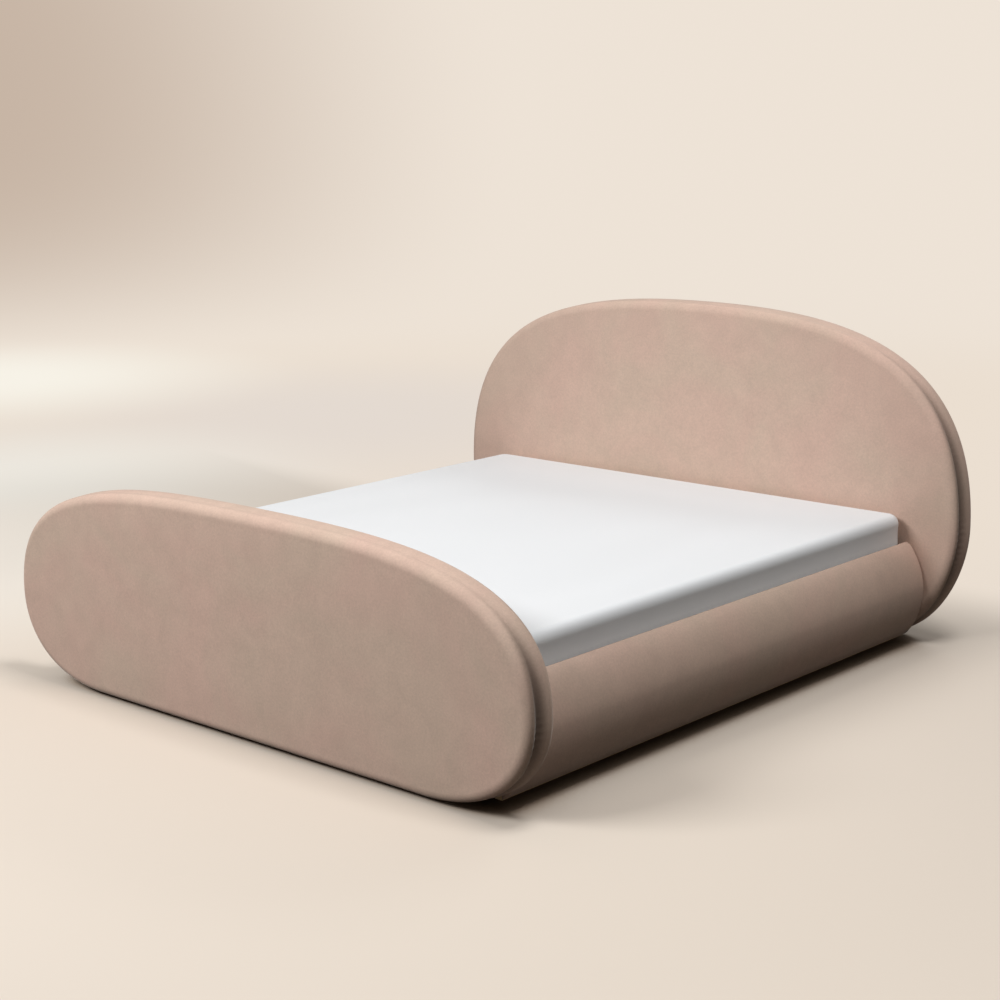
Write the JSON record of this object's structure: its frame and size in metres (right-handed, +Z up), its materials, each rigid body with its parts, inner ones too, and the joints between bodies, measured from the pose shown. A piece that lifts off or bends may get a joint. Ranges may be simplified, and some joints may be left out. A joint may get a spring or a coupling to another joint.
{
  "type": "ottoman bed",
  "caption": "Upholstered bed with oval headboard and footboard, barrel side rails and a hinged lift frame over a storage base.",
  "frame": {"origin": "on the floor, at the middle of the bed's plan", "axes": "+X to the right of a sleeper lying face up, +Y from the footboard to the headboard, +Z up"},
  "size_m": [2.184, 2.27, 1.097],
  "materials": {
    "velvet": "velvet pile",
    "foam": "open cell foam",
    "back_cloth": "plain woven cloth",
    "board": "raw board",
    "timber": "planed softwood",
    "hardboard": "smooth hardboard",
    "beech_slats": "satin lacquer",
    "black_plastic": "moulded",
    "frame_paint": "satin powder coat",
    "zinc_steel": "zinc plated",
    "bright_steel": "zinc plated",
    "rubber_pad": "matte",
    "strut_paint": "gloss paint",
    "chrome_rod": "polished",
    "webbing": "woven webbing",
    "mattress_cloth": "knitted cloth"
  },
  "bodies": {
    "bed_base": {"base_pins_left": "bright_steel", "base_pins_right": "bright_steel", "bed_bolts": "bright_steel", "bed_nuts": "bright_steel", "centre_batten": "timber", "centre_feet": "black_plastic", "corner_brackets": "zinc_steel", "floor_panel_1": "hardboard", "floor_panel_2": "hardboard", "floor_panel_3": "hardboard", "floor_panel_4": "hardboard", "footboard_battens": "timber", "footboard_core": "board", "footboard_cover": "velvet", "footboard_foam": "foam", "footboard_inner_panel": "velvet", "headboard_back_panel": "back_cloth", "headboard_battens": "timber", "headboard_core": "board", "headboard_cover": "velvet", "headboard_foam": "foam", "ledge_left": "timber", "ledge_right": "timber", "lift_plate_left": "zinc_steel", "lift_plate_right": "zinc_steel", "panel_glides": "black_plastic", "rail_board_left": "board", "rail_board_right": "board", "rail_cover_left": "velvet", "rail_cover_right": "velvet", "rail_foam_left": "foam", "rail_foam_right": "foam", "rail_screws": "bright_steel", "rest_blocks": "timber", "rest_pads": "rubber_pad"},
    "lift_frame": {"bar_pins_left": "bright_steel", "bar_pins_right": "bright_steel", "centre_tube": "frame_paint", "foot_tube": "frame_paint", "head_tube": "frame_paint", "lift_bar_left": "frame_paint", "lift_bar_right": "frame_paint", "mattress": "mattress_cloth", "mattress_retainer": "frame_paint", "pull_straps": "webbing", "side_tube_left": "frame_paint", "side_tube_right": "frame_paint", "slat_holders_centre": "black_plastic", "slat_holders_side": "black_plastic", "slats_left": "beech_slats", "slats_right": "beech_slats"},
    "short_arm_left": {"short_arm_left": "zinc_steel"},
    "long_arm_left": {"long_arm_left": "zinc_steel"},
    "strut_cylinder_left": {"strut_cylinder_left": "strut_paint"},
    "strut_rod_left": {"strut_rod_left": "chrome_rod"},
    "short_arm_right": {"short_arm_right": "zinc_steel"},
    "long_arm_right": {"long_arm_right": "zinc_steel"},
    "strut_cylinder_right": {"strut_cylinder_right": "strut_paint"},
    "strut_rod_right": {"strut_rod_right": "chrome_rod"}
  },
  "joints": [
    {"name": "lift", "type": "hinge", "parent": "bed_base", "child": "short_arm_left", "pos_m": [-0.8975, 0.535, 0.1663], "axis": [1, 0, 0], "range_deg": [0, 57.5]},
    {"name": "frame_tilt", "type": "hinge", "parent": "short_arm_left", "child": "lift_frame", "pos_m": [-0.8975, 0.9295, 0.2123], "axis": [-1, 0, 0], "range_deg": [0, 88.5]},
    {"name": "short_arm_right_pivot", "type": "hinge", "parent": "bed_base", "child": "short_arm_right", "pos_m": [0.8975, 0.535, 0.1663], "axis": [1, 0, 0], "range_deg": [0, 57.6]},
    {"name": "long_arm_left_pivot", "type": "hinge", "parent": "bed_base", "child": "long_arm_left", "pos_m": [-0.8915, 0.416, 0.0858], "axis": [1, 0, 0], "range_deg": [0, 51.1]},
    {"name": "strut_left_base", "type": "hinge", "parent": "bed_base", "child": "strut_cylinder_left", "pos_m": [-0.8685, 0.56, 0.0843], "axis": [1, 0, 0], "range_deg": [0, 52.3]},
    {"name": "strut_left_top", "type": "hinge", "parent": "lift_frame", "child": "strut_rod_left", "pos_m": [-0.8685, 0.9295, 0.2123], "axis": [1, 0, 0], "range_deg": [0, 83.1]},
    {"name": "long_arm_right_pivot", "type": "hinge", "parent": "bed_base", "child": "long_arm_right", "pos_m": [0.8915, 0.416, 0.0858], "axis": [1, 0, 0], "range_deg": [0, 51.1]},
    {"name": "strut_right_base", "type": "hinge", "parent": "bed_base", "child": "strut_cylinder_right", "pos_m": [0.8685, 0.56, 0.0843], "axis": [1, 0, 0], "range_deg": [0, 52.3]},
    {"name": "strut_right_top", "type": "hinge", "parent": "lift_frame", "child": "strut_rod_right", "pos_m": [0.8685, 0.9295, 0.2123], "axis": [1, 0, 0], "range_deg": [0, 83.1]}
  ],
  "couplings": [
    {"joint": "frame_tilt", "follows": "lift", "ratio": 1.537},
    {"joint": "short_arm_right_pivot", "follows": "lift", "ratio": 1},
    {"joint": "long_arm_left_pivot", "follows": "lift", "ratio": 0.8872},
    {"joint": "strut_left_base", "follows": "lift", "ratio": 0.9075},
    {"joint": "strut_left_top", "follows": "lift", "ratio": 1.4445},
    {"joint": "long_arm_right_pivot", "follows": "lift", "ratio": 0.8872},
    {"joint": "strut_right_base", "follows": "lift", "ratio": 0.9075},
    {"joint": "strut_right_top", "follows": "lift", "ratio": 1.4445}
  ]
}
